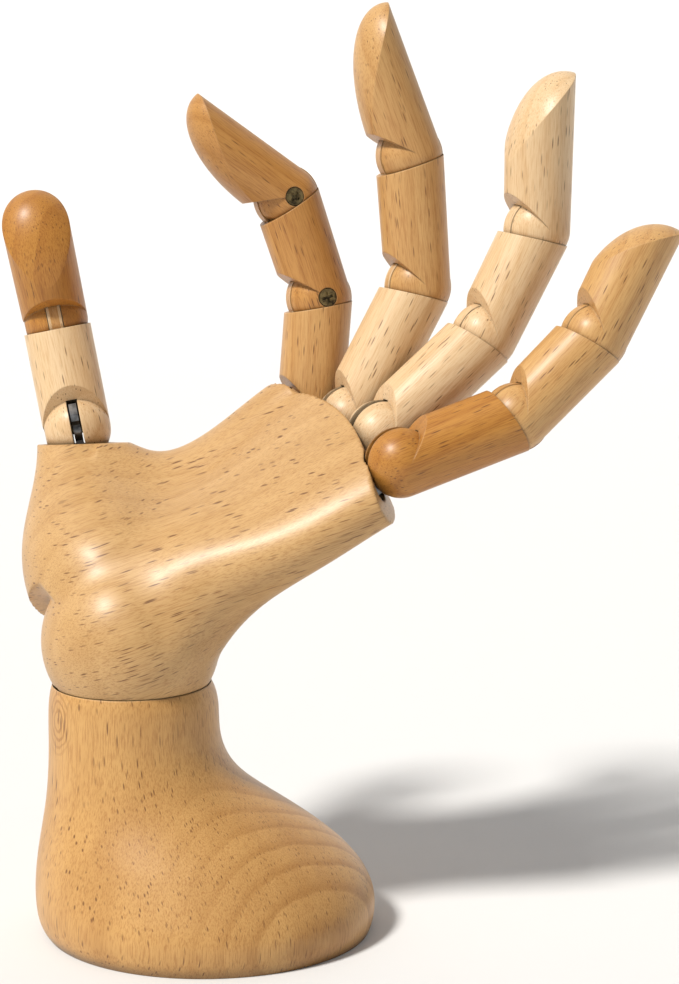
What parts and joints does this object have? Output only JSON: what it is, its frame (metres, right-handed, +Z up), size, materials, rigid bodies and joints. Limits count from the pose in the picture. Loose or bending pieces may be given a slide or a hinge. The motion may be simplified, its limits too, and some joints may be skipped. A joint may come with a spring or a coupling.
{
  "type": "artist mannequin hand",
  "caption": "Jointed wooden artist's mannequin: a left hand on a wrist-shaped stand, with sprung ball knuckles and pinned finger joints that hold a pose.",
  "frame": {"origin": "centre of the stand's flat foot, on the surface it stands on", "axes": "+Z up; +X from the neck of the stand towards its rounded toe, the way the fingers point; +Y to the thumb side"},
  "size_m": [0.1217, 0.0706, 0.1624],
  "materials": {
    "beech_stand": "gloss",
    "beech_palm": "gloss",
    "beech_mid": "gloss",
    "beech_pale": "gloss",
    "beech_warm": "gloss",
    "steel": "satin",
    "screw": "satin"
  },
  "bodies": {
    "stand": {"stand": "beech_stand", "wrist_anchor_bar": "steel"},
    "wrist_spring": {"wrist_spring": "steel"},
    "wrist_strap": {"wrist_strap": "steel"},
    "palm": {"palm": "beech_palm", "wrist_pin": "steel", "finger_anchor_pin": "steel", "thumb_anchor_pin": "steel"},
    "index_spring": {"index_spring": "steel"},
    "index_strap": {"index_strap": "steel"},
    "index_proximal": {"index_proximal": "beech_warm", "index_knuckle_screw": "screw"},
    "index_middle": {"index_middle": "beech_warm", "index_middle_screw": "screw"},
    "index_tip": {"index_tip": "beech_warm", "index_tip_screw": "screw"},
    "middle_spring": {"middle_spring": "steel"},
    "middle_strap": {"middle_strap": "steel"},
    "middle_proximal": {"middle_proximal": "beech_pale", "middle_knuckle_screw": "screw"},
    "middle_middle": {"middle_middle": "beech_mid", "middle_middle_screw": "screw"},
    "middle_tip": {"middle_tip": "beech_warm", "middle_tip_screw": "screw"},
    "ring_spring": {"ring_spring": "steel"},
    "ring_strap": {"ring_strap": "steel"},
    "ring_proximal": {"ring_proximal": "beech_pale", "ring_knuckle_screw": "screw"},
    "ring_middle": {"ring_middle": "beech_pale", "ring_middle_screw": "screw"},
    "ring_tip": {"ring_tip": "beech_pale", "ring_tip_screw": "screw"},
    "little_spring": {"little_spring": "steel"},
    "little_strap": {"little_strap": "steel"},
    "little_proximal": {"little_proximal": "beech_warm", "little_knuckle_screw": "screw"},
    "little_middle": {"little_middle": "beech_mid", "little_middle_screw": "screw"},
    "little_tip": {"little_tip": "beech_mid", "little_tip_screw": "screw"},
    "thumb_spring": {"thumb_spring": "steel"},
    "thumb_strap": {"thumb_strap": "steel"},
    "thumb_proximal": {"thumb_proximal": "beech_mid", "thumb_knuckle_screw": "screw"},
    "thumb_tip": {"thumb_tip": "beech_warm", "thumb_tip_screw": "screw"}
  },
  "joints": [
    {"name": "wrist_turn", "type": "hinge", "parent": "stand", "child": "wrist_spring", "pos_m": [-0.013, 0, 0.0524], "axis": [0, 0, 1], "range_deg": [-180, 180]},
    {"name": "wrist_lean", "type": "hinge", "parent": "wrist_spring", "child": "wrist_strap", "pos_m": [-0.013, 0, 0.0524], "axis": [-0.9171, -0.3987, 0], "range_deg": [-6, 6]},
    {"name": "wrist_tilt", "type": "hinge", "parent": "wrist_strap", "child": "palm", "pos_m": [-0.013, 0, 0.0524], "axis": [-0.3978, 0.9148, 0.0698], "range_deg": [-54, 2]},
    {"name": "index_twist", "type": "hinge", "parent": "palm", "child": "index_spring", "pos_m": [0.01813, 0.03268, 0.08738], "axis": [0.7302, 0.2696, 0.6278], "range_deg": [-4, 24]},
    {"name": "index_spread", "type": "hinge", "parent": "index_spring", "child": "index_strap", "pos_m": [0.01813, 0.03268, 0.08738], "axis": [-0.6261, -0.1039, 0.7728], "range_deg": [-11.5, 8.5]},
    {"name": "index_bend", "type": "hinge", "parent": "index_strap", "child": "index_proximal", "pos_m": [0.01813, 0.03268, 0.08738], "axis": [-0.2926, 0.95, -0.1094], "range_deg": [-17.5, 94.5]},
    {"name": "index_middle_bend", "type": "hinge", "parent": "index_proximal", "child": "index_middle", "pos_m": [0.01979, 0.03564, 0.10871], "axis": [-0.2926, 0.95, -0.1094], "range_deg": [-50.5, 35.5]},
    {"name": "index_tip_bend", "type": "hinge", "parent": "index_middle", "child": "index_tip", "pos_m": [0.01381, 0.03591, 0.12706], "axis": [-0.2926, 0.95, -0.1094], "range_deg": [-36.5, 49.5]},
    {"name": "middle_twist", "type": "hinge", "parent": "palm", "child": "middle_spring", "pos_m": [0.02554, 0.02129, 0.08827], "axis": [0.7302, 0.2696, 0.6278], "range_deg": [-6, 22]},
    {"name": "middle_spread", "type": "hinge", "parent": "middle_spring", "child": "middle_strap", "pos_m": [0.02554, 0.02129, 0.08827], "axis": [-0.6161, -0.1372, 0.7756], "range_deg": [-8.5, 10]},
    {"name": "middle_bend", "type": "hinge", "parent": "middle_strap", "child": "middle_proximal", "pos_m": [0.02554, 0.02129, 0.08827], "axis": [-0.2953, 0.9531, -0.0659], "range_deg": [-40.5, 71.5]},
    {"name": "middle_middle_bend", "type": "hinge", "parent": "middle_proximal", "child": "middle_middle", "pos_m": [0.03778, 0.02671, 0.11172], "axis": [-0.2953, 0.9531, -0.0659], "range_deg": [-41.5, 44.5]},
    {"name": "middle_tip_bend", "type": "hinge", "parent": "middle_middle", "child": "middle_tip", "pos_m": [0.03615, 0.02783, 0.13523], "axis": [-0.2953, 0.9531, -0.0659], "range_deg": [-56, 30]},
    {"name": "ring_twist", "type": "hinge", "parent": "palm", "child": "ring_spring", "pos_m": [0.03083, 0.00912, 0.08734], "axis": [0.7302, 0.2696, 0.6278], "range_deg": [-13, 15]},
    {"name": "ring_spread", "type": "hinge", "parent": "ring_spring", "child": "ring_strap", "pos_m": [0.03083, 0.00912, 0.08734], "axis": [-0.5756, -0.2524, 0.7778], "range_deg": [-11.8, 8.2]},
    {"name": "ring_bend", "type": "hinge", "parent": "ring_strap", "child": "ring_proximal", "pos_m": [0.03083, 0.00912, 0.08734], "axis": [-0.3909, 0.9204, 0.0094], "range_deg": [-61.5, 50.5]},
    {"name": "ring_middle_bend", "type": "hinge", "parent": "ring_proximal", "child": "ring_middle", "pos_m": [0.04937, 0.01683, 0.10386], "axis": [-0.3909, 0.9204, 0.0094], "range_deg": [-52, 34]},
    {"name": "ring_tip_bend", "type": "hinge", "parent": "ring_middle", "child": "ring_tip", "pos_m": [0.05877, 0.02063, 0.12248], "axis": [-0.3909, 0.9204, 0.0094], "range_deg": [-46, 40]},
    {"name": "little_twist", "type": "hinge", "parent": "palm", "child": "little_spring", "pos_m": [0.034, -0.00383, 0.0846], "axis": [0.7302, 0.2696, 0.6278], "range_deg": [-5, 23]},
    {"name": "little_spread", "type": "hinge", "parent": "little_spring", "child": "little_strap", "pos_m": [0.034, -0.00383, 0.0846], "axis": [-0.6212, -0.1206, 0.7743], "range_deg": [-9, 11]},
    {"name": "little_bend", "type": "hinge", "parent": "little_strap", "child": "little_proximal", "pos_m": [0.034, -0.00383, 0.0846], "axis": [-0.2717, 0.9599, -0.0685], "range_deg": [-83, 29]},
    {"name": "little_middle_bend", "type": "hinge", "parent": "little_proximal", "child": "little_middle", "pos_m": [0.05427, 0.0024, 0.0915], "axis": [-0.2717, 0.9599, -0.0685], "range_deg": [-49.5, 36.5]},
    {"name": "little_tip_bend", "type": "hinge", "parent": "little_middle", "child": "little_tip", "pos_m": [0.06804, 0.00726, 0.10487], "axis": [-0.2717, 0.9599, -0.0685], "range_deg": [-55, 31]},
    {"name": "thumb_twist", "type": "hinge", "parent": "palm", "child": "thumb_spring", "pos_m": [-0.02444, 0.02782, 0.0853], "axis": [-0.0301, 0.1407, 0.9896], "range_deg": [-22, 18]},
    {"name": "thumb_spread", "type": "hinge", "parent": "thumb_spring", "child": "thumb_strap", "pos_m": [-0.02444, 0.02782, 0.0853], "axis": [0.0796, -0.9866, 0.1427], "range_deg": [-21.5, 2.5]},
    {"name": "thumb_bend", "type": "hinge", "parent": "thumb_strap", "child": "thumb_proximal", "pos_m": [-0.02444, 0.02782, 0.0853], "axis": [-0.9777, -0.1052, -0.1816], "range_deg": [-75.5, 20.5]},
    {"name": "thumb_tip_bend", "type": "hinge", "parent": "thumb_proximal", "child": "thumb_tip", "pos_m": [-0.02882, 0.03525, 0.10456], "axis": [-0.9777, -0.1052, -0.1816], "range_deg": [-36, 50]}
  ]
}
